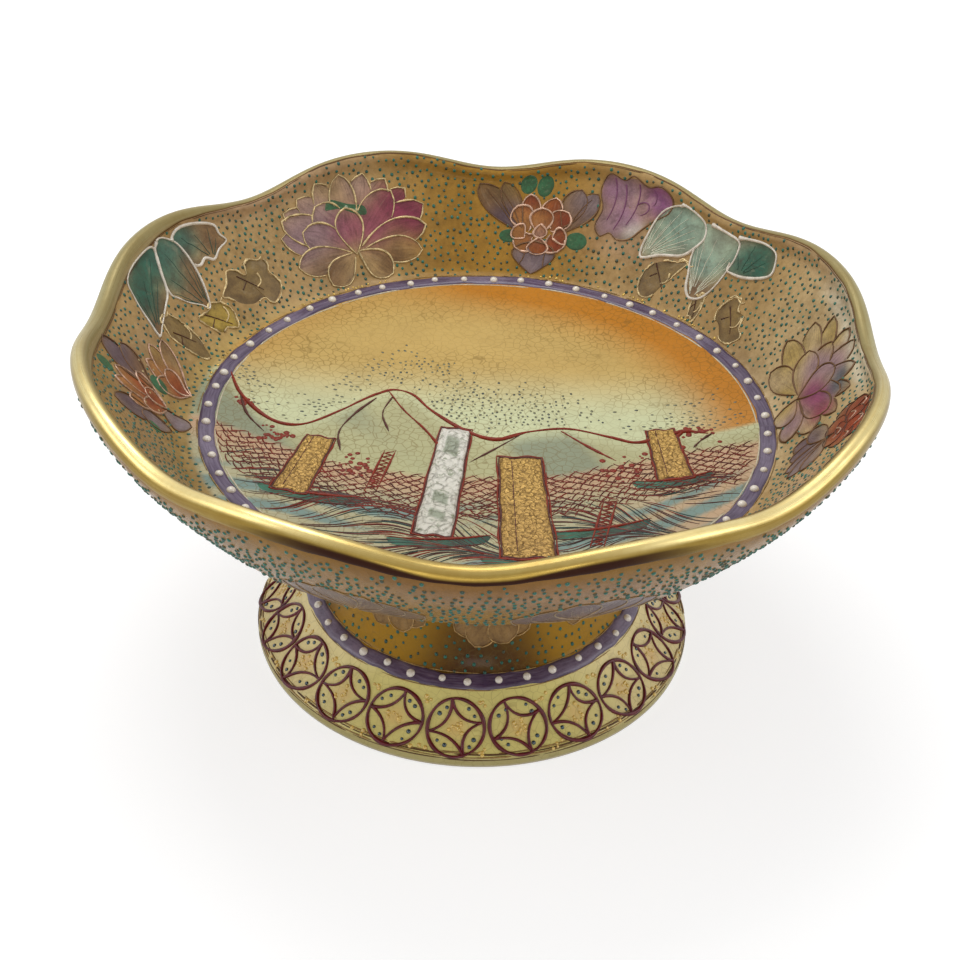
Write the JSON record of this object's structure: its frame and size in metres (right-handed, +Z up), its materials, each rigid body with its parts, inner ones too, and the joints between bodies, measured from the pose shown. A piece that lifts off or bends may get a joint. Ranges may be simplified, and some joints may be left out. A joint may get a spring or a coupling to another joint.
{
  "type": "footed bowl",
  "caption": "Shallow scalloped ceramic bowl on a hollow flared pedestal foot, with a gilded lip, enamel bands with raised beads and raised coin roundels.",
  "frame": {"origin": "on the table, at the middle of the foot's ring", "axes": "+Z up along the bowl's axis; -Y faces the viewer of the picture, +X is to their right"},
  "size_m": [0.187, 0.187, 0.0929],
  "materials": {
    "bowl_glaze": "gloss",
    "foot_glaze": "gloss",
    "slip": "matt",
    "lavender_enamel": "gloss",
    "maroon_enamel": "gloss",
    "white_enamel": "satin",
    "gilding": "polished"
  },
  "bodies": {
    "root": {"bowl_shell": "bowl_glaze", "pedestal_foot": "foot_glaze", "luting_ring": "slip", "rim_gilding": "gilding", "well_band": "lavender_enamel", "foot_band": "lavender_enamel", "coin_roundel_01": "maroon_enamel", "coin_roundel_02": "maroon_enamel", "coin_roundel_03": "maroon_enamel", "coin_roundel_04": "maroon_enamel", "coin_roundel_05": "maroon_enamel", "coin_roundel_06": "maroon_enamel", "coin_roundel_07": "maroon_enamel", "coin_roundel_08": "maroon_enamel", "coin_roundel_09": "maroon_enamel", "coin_roundel_10": "maroon_enamel", "coin_roundel_11": "maroon_enamel", "coin_roundel_12": "maroon_enamel", "coin_roundel_13": "maroon_enamel", "coin_roundel_14": "maroon_enamel", "coin_roundel_15": "maroon_enamel", "coin_roundel_16": "maroon_enamel", "coin_roundel_17": "maroon_enamel", "coin_roundel_18": "maroon_enamel", "coin_roundel_19": "maroon_enamel", "coin_roundel_20": "maroon_enamel", "coin_roundel_21": "maroon_enamel", "sail_relief_tall": "gilding", "sail_relief_white": "white_enamel", "sail_relief_left": "gilding", "sail_relief_right": "gilding"}
  },
  "joints": []
}
